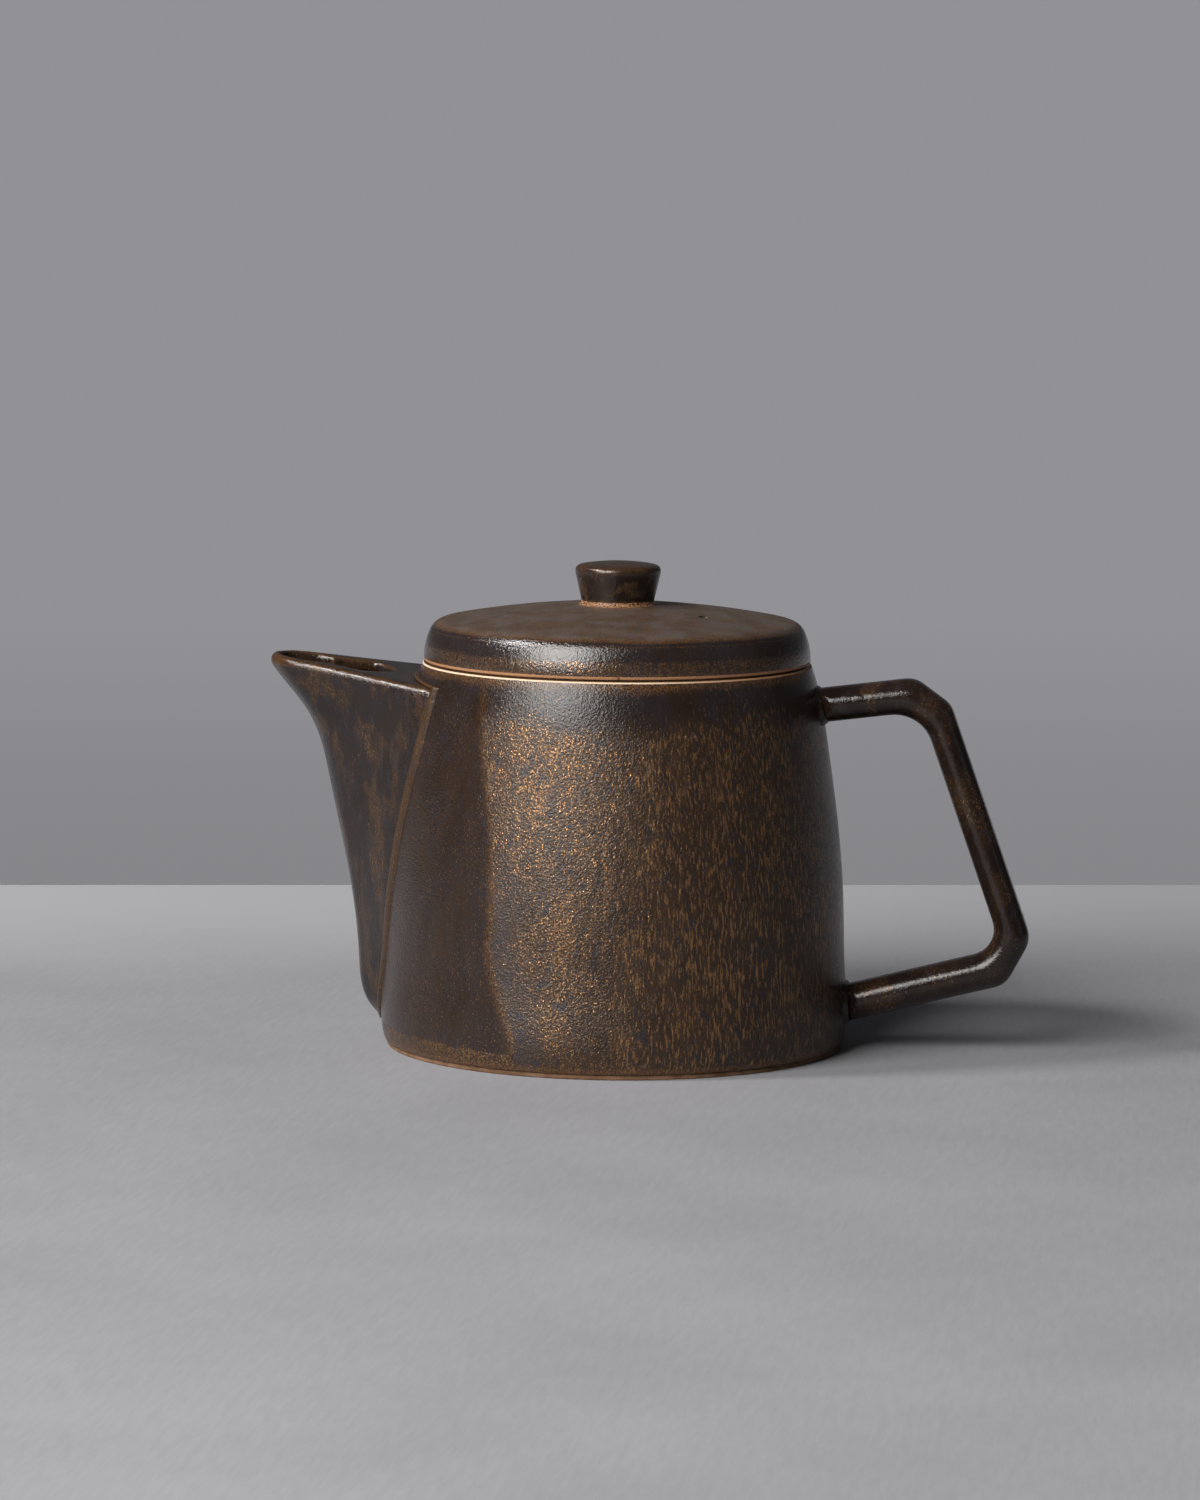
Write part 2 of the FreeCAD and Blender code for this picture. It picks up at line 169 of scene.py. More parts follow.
class Mixer:
    """Short calls that add nodes to a material and join them up. Places are in millimetres."""

    def __init__(self, name):
        self.material = bpy.data.materials.new(name)
        self.material.use_nodes = True
        self.tree = self.material.node_tree
        self.surface = self.tree.nodes["Principled BSDF"]
        coordinates = add(self.tree, "ShaderNodeTexCoord").outputs["Object"]
        self.place = self.vector("MULTIPLY", coordinates, (1 / MM,) * 3)
        self.x, self.y, self.z = add(self.tree, "ShaderNodeSeparateXYZ", {0: self.place}).outputs

    def vector(self, operation, *values):
        return compute(self.tree, "ShaderNodeVectorMath", operation, *values)["Vector"]

    def length(self, value):
        return compute(self.tree, "ShaderNodeVectorMath", "LENGTH", value)["Value"]

    def math(self, operation, *values):
        return compute(self.tree, "ShaderNodeMath", operation, *values)[0]

    def plus(self, first, second):
        return self.math("ADD", first, second)

    def minus(self, first, second):
        return self.math("SUBTRACT", first, second)

    def times(self, first, second):
        return self.math("MULTIPLY", first, second)

    def larger(self, first, second):
        return self.math("MAXIMUM", first, second)

    def step(self, value, low, high):
        """0 at low and 1 at high, smooth between. Low may be the larger of the two."""
        rising = low < high
        return add(self.tree, "ShaderNodeMapRange", {
            "Value": value,
            "From Min": low if rising else high,
            "From Max": high if rising else low,
            "To Min": 0 if rising else 1,
            "To Max": 1 if rising else 0,
        }, interpolation_type="SMOOTHSTEP").outputs["Result"]

    def band(self, value, start, full, fade, end):
        """1 from full to fade, and 0 before start and past end."""
        return self.times(self.step(value, start, full), self.step(value, end, fade))

    def noise(self, scale, stretch=(1, 1, 1), detail=2.0, roughness=0.5, offset=0.0):
        """Noise whose scale is in cells per millimetre, between about 0.25 and 0.75."""
        place = self.vector("ADD", self.vector("MULTIPLY", self.place, stretch), (offset,) * 3)
        return add(self.tree, "ShaderNodeTexNoise", {
            "Vector": place, "Scale": scale, "Detail": detail, "Roughness": roughness,
        }).outputs["Fac"]

    def colour(self, share, first, second):
        """From the first colour to the second as share goes from 0 to 1."""
        return add(self.tree, "ShaderNodeMix", {0: share, 6: first, 7: second}, data_type="RGBA").outputs[2]

    def number(self, share, first, second):
        """From the first number to the second as share goes from 0 to 1."""
        return add(self.tree, "ShaderNodeMix", {0: share, 2: first, 3: second}).outputs[0]

    def finish(self, colour, metallic, roughness, height, gloss=0.5):
        """Sends the finish to the surface. Height is a relief in millimetres."""
        bump = add(self.tree, "ShaderNodeBump", {"Strength": 1.0, "Distance": MM, "Height": height})
        join(colour, self.surface.inputs["Base Color"])
        join(metallic, self.surface.inputs["Metallic"])
        join(roughness, self.surface.inputs["Roughness"])
        self.surface.inputs["Specular IOR Level"].default_value = gloss
        join(bump.outputs[0], self.surface.inputs["Normal"])
        return self.material


table_grey = (0.283, 0.281, 0.298)
table_light_share = 1.12
table_dark_share = 0.90
table_back_painted_light_grey = (0.43, 0.428, 0.45, 1)
table_painted_light_depth = 60.0
table_edge_depth = 328.6
table_edge_turn = math.radians(10.6)
table_reach = 6.0
wall_foot_shade_grey = (0.240, 0.240, 0.254, 1)
wall_shade_height = 1000.0


def make_table_paint():
    """Pale paint with faint brush marks, painted lighter towards the back as painted light. Past the table's
    back edge it shows the wall's colour, with painted shade at its foot.
    """
    paint = Mixer("table_paint")
    marks = paint.noise(0.55, (1, 0.12, 1), detail=4.0, roughness=0.6)
    patches = paint.noise(0.012, detail=2.0)
    shade = paint.plus(paint.times(marks, 0.10), paint.times(patches, 0.10))
    darker = tuple(channel * table_dark_share for channel in table_grey) + (1,)
    lighter = tuple(channel * table_light_share for channel in table_grey) + (1,)
    depth = paint.minus(
        paint.times(paint.y, math.cos(table_edge_turn)), paint.times(paint.x, math.sin(table_edge_turn))
    )
    colour = paint.colour(paint.step(shade, 0.04, 0.16), darker, lighter)
    # Painted light: the paint turns to a lighter grey towards the back edge.
    colour = paint.colour(paint.step(depth, table_painted_light_depth, table_edge_depth), colour, table_back_painted_light_grey)
    paint.finish(colour, 0.0, 0.7, paint.times(marks, 0.02), gloss=0.15)
    beyond = paint.math("GREATER_THAN", depth, table_edge_depth)
    # Painted shade: the wall is darker at its foot and brightens over wall_shade_height.
    rise = paint.step(depth, table_edge_depth, table_edge_depth + wall_shade_height)
    glow = add(paint.tree, "ShaderNodeEmission", {"Color": paint.colour(rise, wall_foot_shade_grey, wall_grey)})
    both = add(paint.tree, "ShaderNodeMixShader", {
        "Fac": beyond, 1: paint.surface.outputs[0], 2: glow.outputs[0],
    })
    join(both.outputs[0], paint.tree.nodes["Material Output"].inputs["Surface"])
    return paint.material


table_mesh = bpy.data.meshes.new("table")
table_corners = [(-1, -1), (1, -1), (1, 1), (-1, 1)]
table_mesh.from_pydata([(x * table_reach, y * table_reach, 0) for x, y in table_corners], [], [(0, 1, 2, 3)])
table_mesh.materials.append(make_table_paint())
table = bpy.data.objects.new("table", table_mesh)
bpy.context.scene.collection.objects.link(table)

# Pot body
# The pot is thrown stoneware: an upright wall that draws in towards a thickened mouth, on a flat floor.
# It is dipped in a bronze-black glaze, except for the rim's top and the underside. The spout's side
# was dipped twice, which leaves a darker field with a rusty edge down the wall.
rim_height = 111.6
rim_radius = 56.2
belly_radius = 67.9
belly_height = 8.0
base_inset = 1.1
wall_height_shares = (0.132, 0.34, 0.565, 0.78, 0.93)
wall_taper_shares = (0.952, 0.882, 0.711, 0.442, 0.195)
wall_thickness = 4.2
floor_thickness = 5.0
foot_height = 1.4
mouth_radius = 49.6
mouth_depth = 9.0
throat_slope = 7.0
port_height = 48.0
port_radius = 15.0
port_reach = (-75.0, -56.0)

outline_spacing = 2.0
patch_scale = 26
ring_stretch = (8, 8, 150)
ring_share = 0.35
weld_distance = 0.002
speck_size = 0.0005
edge_radius = 4.0
drill_sides = 48
large_segments = 288
crease_angle = math.radians(40)

glaze_black = (0.011, 0.007, 0.006, 1)
glaze_blue = (0.020, 0.016, 0.019, 1)
glaze_brown = (0.044, 0.024, 0.012, 1)
glaze_gold = (0.36, 0.19, 0.083, 1)
bloom_and_sheen_grey = (0.150, 0.132, 0.128, 1)
glaze_rust = (0.105, 0.050, 0.019, 1)
clay_tan = (0.62, 0.47, 0.33, 1)
clay_toast = (0.33, 0.15, 0.06, 1)


def smooth_line(points, spacing):
    """Points along a smooth curve through the given ones, by cubics in the distance run."""
    points = np.array(points, float)
    run = np.concatenate([[0], np.cumsum(np.linalg.norm(np.diff(points, axis=0), axis=1))])
    gap = np.diff(run)
    count = len(points)
    system = np.zeros((count, count))
    known = np.zeros((count, 2))
    for row in range(1, count - 1):
        system[row, row - 1:row + 2] = gap[row - 1], 2 * (gap[row - 1] + gap[row]), gap[row]
        slopes = (points[row + 1] - points[row]) / gap[row], (points[row] - points[row - 1]) / gap[row - 1]
        known[row] = 6 * (slopes[0] - slopes[1])
    system[0, :3] = gap[1], -gap[0] - gap[1], gap[0]
    system[-1, -3:] = gap[-1], -gap[-1] - gap[-2], gap[-2]
    bend = np.linalg.solve(system, known)
    places = np.linspace(0, run[-1], int(run[-1] / spacing) + 1)
    part = np.clip(np.searchsorted(run, places, side="right") - 1, 0, count - 2)
    after = (places - run[part])[:, None]
    before = (run[part + 1] - places)[:, None]
    width = gap[part][:, None]
    left, right_side = bend[part], bend[part + 1]
    return (
        (left * before**3 + right_side * after**3) / (6 * width)
        + (points[part] / width - left * width / 6) * before
        + (points[part + 1] / width - right_side * width / 6) * after
    )


def bow(start, middle, end, steps):
    """Points of the circle arc through three points."""
    start, middle, end = (np.array(point, float) for point in (start, middle, end))
    chords = 2 * np.array([middle - start, end - start])
    centre = np.linalg.solve(chords, [middle @ middle - start @ start, end @ end - start @ start])
    first, last = (math.atan2(*(point - centre)[::-1]) for point in (start, end))
    sweep = (last - first + math.pi) % math.tau - math.pi
    radius = math.dist(centre, start)
    turns = [first + sweep * step / steps for step in range(steps + 1)]
    return [(centre[0] + radius * math.cos(angle), centre[1] + radius * math.sin(angle)) for angle in turns]


def ease(line, corner, size, steps=7):
    """Rounds an outline at one of its corners, by drawing the points near it onto a curve."""
    line = [np.array(point, float) for point in line]
    tip = np.array(corner, float)
    gaps = [np.linalg.norm(point - tip) for point in line]
    first = last = int(np.argmin(gaps))
    while gaps[first] < size:
        first -= 1
    while gaps[last] < size:
        last += 1
    start = tip + (line[first] - tip) / np.linalg.norm(line[first] - tip) * size
    end = tip + (line[last] - tip) / np.linalg.norm(line[last] - tip) * size
    curve = []
    for step in range(steps + 1):
        share = step / steps
        curve.append(start * (1 - share) ** 2 + tip * 2 * share * (1 - share) + end * share**2)
    return line[:first + 1] + curve + line[last:]


def fill_in(line, spacing):
    """Adds points on the long straight stretches of an outline."""
    filled = []
    for start, end in zip(line, line[1:]):
        start, end = np.array(start, float), np.array(end, float)
        steps = max(1, int(np.linalg.norm(end - start) / spacing))
        filled += [start + (end - start) * step / steps for step in range(steps)]
    return filled + [np.array(line[-1], float)]


def make_wheel():
    """Geometry nodes that turn an outline curve about the upright axis, as on a potter's wheel.

    The surface is drawn in by up to Unevenness, in wide soft patches and in throwing rings.
    """
    tree = bpy.data.node_groups.new("potters_wheel", "GeometryNodeTree")
    sockets = {}
    for label, kind in (
        ("Outline", "NodeSocketObject"),
        ("Segments", "NodeSocketInt"),
        ("Unevenness", "NodeSocketFloat"),
        ("Finish", "NodeSocketMaterial"),
    ):
        sockets[label] = tree.interface.new_socket(name=label, in_out="INPUT", socket_type=kind).identifier
    tree.interface.new_socket(name="Geometry", in_out="OUTPUT", socket_type="NodeSocketGeometry")

    def number(operation, *values):
        return compute(tree, "ShaderNodeMath", operation, *values)[0]

    def vector(operation, *values):
        return compute(tree, "ShaderNodeVectorMath", operation, *values)["Vector"]

    given = add(tree, "NodeGroupInput").outputs
    outline = add(tree, "GeometryNodeObjectInfo", {"Object": given["Outline"]}).outputs["Geometry"]
    points = add(tree, "GeometryNodeCurveToPoints", {0: outline}, mode="EVALUATED").outputs["Points"]
    size = add(tree, "GeometryNodeAttributeDomainSize", {0: points}, component="POINTCLOUD")
    count = size.outputs["Point Count"]
    columns = number("ADD", given["Segments"], 1)
    grid = add(tree, "GeometryNodeMeshGrid", {"Vertices X": columns, "Vertices Y": count}).outputs["Mesh"]
    index = add(tree, "GeometryNodeInputIndex").outputs[0]
    row = number("MODULO", index, count)
    column = number("FLOOR", number("DIVIDE", index, count))
    angle = number("MULTIPLY", number("DIVIDE", column, given["Segments"]), math.tau)
    position = add(tree, "GeometryNodeInputPosition").outputs[0]
    drawn = add(tree, "GeometryNodeSampleIndex", {
        "Geometry": points, "Value": position, "Index": row,
    }, data_type="FLOAT_VECTOR").outputs[0]
    turned = add(tree, "ShaderNodeVectorRotate", {
        "Vector": drawn, "Angle": angle,
    }, rotation_type="Z_AXIS").outputs[0]
    patches = add(tree, "ShaderNodeTexNoise", {
        "Vector": turned, "Scale": patch_scale, "Detail": 1.5,
    }).outputs["Fac"]
    rings = add(tree, "ShaderNodeTexNoise", {
        "Vector": vector("MULTIPLY", turned, ring_stretch), "Scale": 1, "Detail": 1,
    }).outputs["Fac"]
    depth = number("MULTIPLY", number("MULTIPLY_ADD", rings, ring_share, patches), given["Unevenness"])
    outward = vector("NORMALIZE", vector("MULTIPLY", turned, (1, 1, 0)))
    drawn_in = vector("MULTIPLY", outward, number("MULTIPLY", depth, -1))
    settled = add(tree, "GeometryNodeSetPosition", {
        "Geometry": grid, "Position": turned, "Offset": drawn_in,
    }).outputs[0]
    welded = add(tree, "GeometryNodeMergeByDistance", {0: settled, "Distance": weld_distance * MM}).outputs[0]
    real = add(tree, "GeometryNodeRealizeInstances", {0: welded}).outputs[0]
    finished = add(tree, "GeometryNodeSetMaterial", {0: real, "Material": given["Finish"]}).outputs[0]
    add(tree, "NodeGroupOutput", {0: finished})
    return tree, sockets


def bake_mesh(name, source):
    """A plain mesh object with the source's modifiers applied. The source is removed."""
    bpy.context.view_layer.update()
    graph = bpy.context.evaluated_depsgraph_get()
    mesh = bpy.data.meshes.new_from_object(source.evaluated_get(graph), depsgraph=graph)
    bpy.data.objects.remove(source)
    mesh.name = name
    piece = bpy.data.objects.new(name, mesh)
    bpy.context.scene.collection.objects.link(piece)
    return piece


def tidy_mesh(piece):
    """Merges doubles, turns the faces outwards and shades the piece smooth."""
    work = bmesh.new()
    work.from_mesh(piece.data)
    bmesh.ops.remove_doubles(work, verts=work.verts, dist=weld_distance * MM)
    bmesh.ops.dissolve_degenerate(work, edges=work.edges, dist=speck_size * MM)
    bmesh.ops.recalc_face_normals(work, faces=work.faces)
    work.to_mesh(piece.data)
    work.free()
    piece.data.shade_smooth()


def read_points(mesh, label="co"):
    """The mesh's points, or their normals, as rows of an array."""
    spots = np.empty(len(mesh.vertices) * 3)
    mesh.vertices.foreach_get(label, spots)
    return spots.reshape(-1, 3)


def move_points(mesh, spots):
    mesh.vertices.foreach_set("co", spots.ravel())
    mesh.update()


def measure_edges(piece, rounds=3):
    """Stores how sharply the surface bends as glaze_break: 1 on a tight outer edge, -1 in a tight corner."""
    mesh = piece.data
    count = len(mesh.vertices)
    spots = read_points(mesh)
    normals = read_points(mesh, "normal")
    ends = np.empty(len(mesh.edges) * 2, int)
    mesh.edges.foreach_get("vertices", ends)
    first, second = ends.reshape(-1, 2).T
    along = spots[second] - spots[first]
    length = np.maximum((along**2).sum(1), 1e-12)
    joined = np.maximum(np.bincount(first, minlength=count) + np.bincount(second, minlength=count), 1)
    bend_first = -2 * (normals[first] * along).sum(1) / length
    bend_second = 2 * (normals[second] * along).sum(1) / length
    bend = np.bincount(first, bend_first, count) + np.bincount(second, bend_second, count)
    bend = np.clip(bend / joined * edge_radius * MM, -1, 1)
    for _ in range(rounds):
        shared = np.bincount(first, bend[second], count) + np.bincount(second, bend[first], count)
        bend = (bend + shared / joined) / 2
    layer = mesh.attributes.new("glaze_break", "FLOAT", "POINT")
    layer.data.foreach_set("value", bend.astype(np.float32))


wheel, wheel_sockets = make_wheel()


def throw(name, outline, segments, unevenness, finish):
    """A turned piece from an outline in millimetres, made by the wheel's nodes."""
    curve = bpy.data.curves.new(name + "_outline", "CURVE")
    curve.dimensions = "3D"
    line = curve.splines.new("POLY")
    line.points.add(len(outline) - 1)
    for point, (radius, height) in zip(line.points, outline):
        point.co = (max(radius, 0) * MM, 0, height * MM, 1)
    guide = bpy.data.objects.new(name + "_outline", curve)
    bpy.context.scene.collection.objects.link(guide)
    lump = bpy.data.objects.new(name + "_lump", bpy.data.meshes.new(name + "_lump"))
    bpy.context.scene.collection.objects.link(lump)
    turning = lump.modifiers.new("wheel", "NODES")
    turning.node_group = wheel
    turning[wheel_sockets["Outline"]] = guide
    turning[wheel_sockets["Segments"]] = segments
    turning[wheel_sockets["Unevenness"]] = unevenness * MM
    turning[wheel_sockets["Finish"]] = finish
    piece = bake_mesh(name, lump)
    bpy.data.objects.remove(guide)
    piece.data.materials.clear()
    piece.data.materials.append(finish)
    for face in piece.data.polygons:
        face.material_index = 0
    tidy_mesh(piece)
    return piece


def drill(piece, radius, start, end):
    """Cuts a round hole through a piece, between two points in millimetres."""
    start, end = Vector(start) * MM, Vector(end) * MM
    cutter_mesh = bpy.data.meshes.new("drill")
    work = bmesh.new()
    bmesh.ops.create_cone(
        work, cap_ends=True, segments=drill_sides, depth=(end - start).length, radius1=radius * MM,
        radius2=radius * MM,
    )
    work.to_mesh(cutter_mesh)
    work.free()
    cutter_mesh.materials.append(piece.data.materials[0])
    cutter_mesh.transform(
        Matrix.Translation((start + end) / 2) @ (end - start).to_track_quat("Z", "Y").to_matrix().to_4x4()
    )
    cutter = bpy.data.objects.new("drill", cutter_mesh)
    bpy.context.scene.collection.objects.link(cutter)
    cut = piece.modifiers.new("drill", "BOOLEAN")
    cut.object = cutter
    cut.solver = "EXACT"
    name = piece.name
    piece.name = name + "_whole"
    drilled = bake_mesh(name, piece)
    bpy.data.objects.remove(cutter)
    drilled.data.set_sharp_from_angle(angle=crease_angle)
    return drilled


def glaze(name, masks, gloss=0.4):
    """The bronze glaze: a violet-black ground with fine golden crystals that run in streaks.

    It breaks to rust over edges, and shows bare clay where it was wiped off. The masks function
    may change how much of each shows, from the piece's own shape.
    """
    mix = Mixer(name)
    fine = mix.noise(2.5, (1, 1, 0.7), detail=2.0, roughness=0.6)
    runs = mix.noise(1.7, (1, 1, 0.16), detail=3.0, roughness=0.65, offset=31)
    clouds = mix.noise(0.11, (1, 1, 0.7), detail=3.0, offset=57)
    drips = mix.noise(0.16, (1, 1, 0.3), detail=3.0, roughness=0.6, offset=83)
    edges = add(mix.tree, "ShaderNodeAttribute", attribute_name="glaze_break").outputs["Fac"]
    amounts = {
        "gold": 0.5,
        "streak": 0.2,
        "blue": 0.2,
        "brown": 0.5,
        "rust": 0.0,
        "clay": 0.0,
        "toast": 0.5,
        "bloom": 0.0,
        "rough": 0.24,
        "grain": 0.05,
        "pebble": 0.15,
        "edge": edges,
    }
    amounts.update(masks(mix, amounts))
    cloudy = mix.minus(clouds, 0.5)
    frayed = mix.minus(fine, 0.5)
    grain = mix.number(amounts["streak"], fine, runs)
    wanted = mix.times(mix.minus(amounts["gold"], 0.5), 0.36)
    level = mix.plus(grain, mix.plus(mix.times(cloudy, 0.15), wanted))
    flecks = mix.times(mix.step(level, 0.52, 0.61), 0.85)

    run_down = mix.plus(mix.times(mix.step(drips, 0.36, 0.62), 0.4), 0.6)
    cool = mix.times(mix.step(clouds, 0.34, 0.62), amounts["blue"])
    marks = mix.step(mix.noise(0.62, (1, 1, 0.25), detail=1.0, offset=119), 0.57, 0.68)
    spots = mix.step(mix.noise(0.17, detail=1.0, offset=151), 0.68, 0.73)
    dark = mix.larger(mix.times(marks, 0.6), mix.times(spots, 0.8))
    colour = mix.colour(mix.times(run_down, amounts["brown"]), glaze_black, glaze_brown)
    colour = mix.colour(cool, colour, glaze_blue)
    colour = mix.colour(flecks, colour, glaze_gold)
    colour = mix.colour(dark, colour, glaze_blue)
    # Bloom: a matt grey bloom of the glaze and pale scuffs, and on the lid's top also a painted sheen for the
    # wall's reflection.
    colour = mix.colour(amounts["bloom"], colour, bloom_and_sheen_grey)

    worn = mix.step(mix.plus(amounts["edge"], frayed), 0.62, 1.05)
    rusty = mix.times(amounts["rust"], mix.step(fine, 0.40, 0.56))
    pooled = mix.step(mix.times(amounts["edge"], -1.0), 0.25, 0.9)
    bare = mix.step(mix.plus(amounts["clay"], mix.times(frayed, 0.8)), 0.42, 0.58)
    toast = mix.step(mix.plus(amounts["toast"], mix.times(frayed, 0.8)), 0.0, 1.0)
    pits = add(mix.tree, "ShaderNodeTexVoronoi", {"Vector": mix.place, "Scale": 0.13}).outputs["Distance"]
    pit = mix.step(pits, 0.075, 0.035)
    colour = mix.colour(mix.times(worn, 0.5), colour, glaze_rust)
    colour = mix.colour(rusty, colour, glaze_rust)
    colour = mix.colour(mix.times(pooled, 0.7), colour, glaze_black)
    colour = mix.colour(bare, colour, mix.colour(toast, clay_tan, clay_toast))
    colour = mix.colour(mix.times(pit, 0.8), colour, glaze_black)

    covered = mix.minus(1.0, mix.larger(bare, mix.larger(rusty, dark)))
    metallic = mix.times(flecks, covered)
    roughness = mix.number(bare, mix.plus(amounts["rough"], mix.times(cloudy, 0.2)), 0.75)
    pebbles = mix.noise(1.5, detail=2.0, roughness=0.6, offset=17)
    swells = mix.noise(0.25, detail=1.0, offset=7)
    relief = mix.plus(mix.times(grain, amounts["grain"]), mix.times(pebbles, amounts["pebble"]))
    relief = mix.minus(mix.plus(relief, mix.times(swells, 0.06)), mix.times(pit, 0.08))
    return mix.finish(colour, metallic, roughness, relief, gloss)


rim_band_heights = (95.0, 105.0)
rim_rust_heights = (107.6, 110.8)
rim_bare_heights = (110.7, 111.1)
rim_groove_shade_heights = (111.25, 111.4)
rim_groove_shade_radii = (55.1, 55.4)
foot_rust_heights = (4.0, 2.2)
dip_edge_x = -28.9
dip_foot_flare = 7.5
dip_foot_flare_heights = (34.0, 5.0)
dip_top_flare = 3.5
dip_top_flare_heights = (64.0, 98.0)
dip_foot_height = 6.8
dip_foot_blur = 0.6
dip_edge_blur = 1.2
dip_rust_band = (-2.2, 0.0, 0.4, 2.0)
haze_band = (0.5, 3.0, 4.0, 13.0)
haze_heights = (76.0, 40.0)
gold_fade_x = (8.0, 62.0)
brown_fade_x = (0.0, 50.0)
streak_start_x = (-12.0, 36.0)
toast_shade_start_x = (5.0, 50.0)


def body_masks(mix, amounts):
    """Where the wall's glaze changes: the rim, the foot, the handle's side and the second dip. The rim also
    carries painted shade, in the groove under the lid and towards the handle's side.
    """
    wander = mix.minus(mix.noise(0.06, detail=2.0, offset=201), 0.5)
    ripple = mix.minus(mix.noise(0.5, detail=2.0, offset=233), 0.5)
    band = mix.step(mix.plus(mix.z, mix.times(wander, 14.0)), *rim_band_heights)

    flare = mix.times(mix.step(mix.z, *dip_foot_flare_heights), dip_foot_flare)
    flare = mix.minus(flare, mix.times(mix.step(mix.z, *dip_top_flare_heights), dip_top_flare))
    across = mix.minus(mix.minus(mix.x, flare), dip_edge_x)
    across = mix.plus(across, mix.plus(mix.times(wander, 3.0), ripple))
    foot_line = mix.plus(mix.z, mix.plus(mix.times(wander, 4.0), ripple))
    above_foot = mix.step(foot_line, dip_foot_height - dip_foot_blur, dip_foot_height + dip_foot_blur)
    dip = mix.times(mix.step(across, dip_edge_blur, -dip_edge_blur), above_foot)
    dip_rust = mix.times(mix.band(across, *dip_rust_band), above_foot)
    haze = mix.times(mix.band(across, *haze_band), mix.step(mix.z, *haze_heights))

    gold = mix.number(mix.step(mix.x, *gold_fade_x), 0.49, 0.46)
    gold = mix.number(band, gold, 0.20)
    gold = mix.number(haze, gold, mix.minus(gold, 0.16))
    gold = mix.number(dip, gold, 0.27)
    blue = mix.number(band, mix.times(mix.larger(haze, mix.times(dip, 0.4)), 0.8), 0.6)
    brown = mix.number(mix.step(mix.x, *brown_fade_x), 0.85, 0.62)
    brown = mix.number(band, mix.number(dip, brown, 0.46), 0.25)
    rim_rust = mix.step(mix.plus(mix.z, mix.times(wander, 4.0)), *rim_rust_heights)
    rust = mix.larger(rim_rust, mix.step(mix.z, *foot_rust_heights))
    from_axis = mix.length(mix.vector("MULTIPLY", mix.place, (1, 1, 0)))
    # Painted shade: the outer strip of the rim's top, under the lid's edge, keeps the dark glaze instead of
    # bare clay.
    groove_shade = mix.times(mix.step(mix.z, *rim_groove_shade_heights), mix.step(from_axis, *rim_groove_shade_radii))
    return {
        "gold": gold,
        "streak": mix.number(mix.step(mix.x, *streak_start_x), 0.2, 1.0),
        "blue": blue,
        "brown": brown,
        "rust": mix.larger(rust, mix.times(dip_rust, 0.4)),
        "clay": mix.times(mix.step(mix.z, *rim_bare_heights), mix.minus(1.0, groove_shade)),
        # Painted shade: the bare rim turns to the darker toasted clay towards the handle's side, away from
        # the key light.
        "toast": mix.plus(mix.times(mix.step(mix.x, *toast_shade_start_x), 0.75), 0.05),
        "bloom": mix.times(haze, 0.07),
        "rough": mix.number(mix.larger(band, dip), 0.26, 0.14),
        "grain": mix.number(dip, 0.10, 0.05),
        "pebble": mix.number(mix.larger(band, dip), 0.3, 0.15),
    }


def wall_outline(depth):
    points = [(belly_radius - base_inset - depth, foot_height), (belly_radius - depth, belly_height)]
    for height_share, taper_share in zip(wall_height_shares, wall_taper_shares):
        height = belly_height + (rim_height - belly_height) * height_share
        points.append((rim_radius + (belly_radius - rim_radius) * taper_share - depth, height))
    return smooth_line(points + [(rim_radius - depth, rim_height)], spacing=1.1)


outer_wall = wall_outline(0)


def wall_radius(height):
    """Radius of the outer wall at a height, in millimetres. Takes arrays too."""
    return np.interp(height, outer_wall[:, 1], outer_wall[:, 0])


floor_height = foot_height + floor_thickness
throat_height = rim_height - mouth_depth - throat_slope
middle_height = (floor_height + throat_height) / 2
inner_heights = (throat_height, middle_height, floor_height)
inner_wall = bow(*((wall_radius(height) - wall_thickness, height) for height in inner_heights), steps=60)
mouth_foot = (mouth_radius, rim_height - mouth_depth)
pot_outline = [(0, foot_height)] + [tuple(point) for point in outer_wall]
pot_outline += [(mouth_radius, rim_height), mouth_foot] + inner_wall + [(0, floor_height)]
pot_outline = fill_in(pot_outline, outline_spacing)
for corner, size in (
    ((belly_radius - base_inset, foot_height), 0.7),
    ((rim_radius, rim_height), 0.9),
    ((mouth_radius, rim_height), 0.6),
    (mouth_foot, 2.0),
    (inner_wall[0], 3.0),
):
    pot_outline = ease(pot_outline, corner, size)
pot_outline = ease(pot_outline, inner_wall[-1], 9.0, steps=12)
pot_body = throw("pot", pot_outline, large_segments, unevenness=0.10, finish=glaze("body_glaze", body_masks))
pot_body = drill(pot_body, port_radius, (port_reach[0], 0, port_height), (port_reach[1], 0, port_height))
measure_edges(pot_body)
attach(pot_body, "pot")
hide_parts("pot_body")

# Foot ring
# The pot stands on a low ring of bare clay. It is turned with the pot, wiped clean of glaze before the
# firing and rubbed smooth, so it shows as a thin tan line at the table. Its colour is painted darker than
# the clay's own tan, as painted shade for the shadow it stands in.
foot_inset = 0.7
foot_width = 7.0
# Painted shade: the clay's colour is set darker than its own tan, since the foot ring sits in shadow at the
# table.
clay_buff_darkened_as_shade = (0.19, 0.10, 0.052, 1)


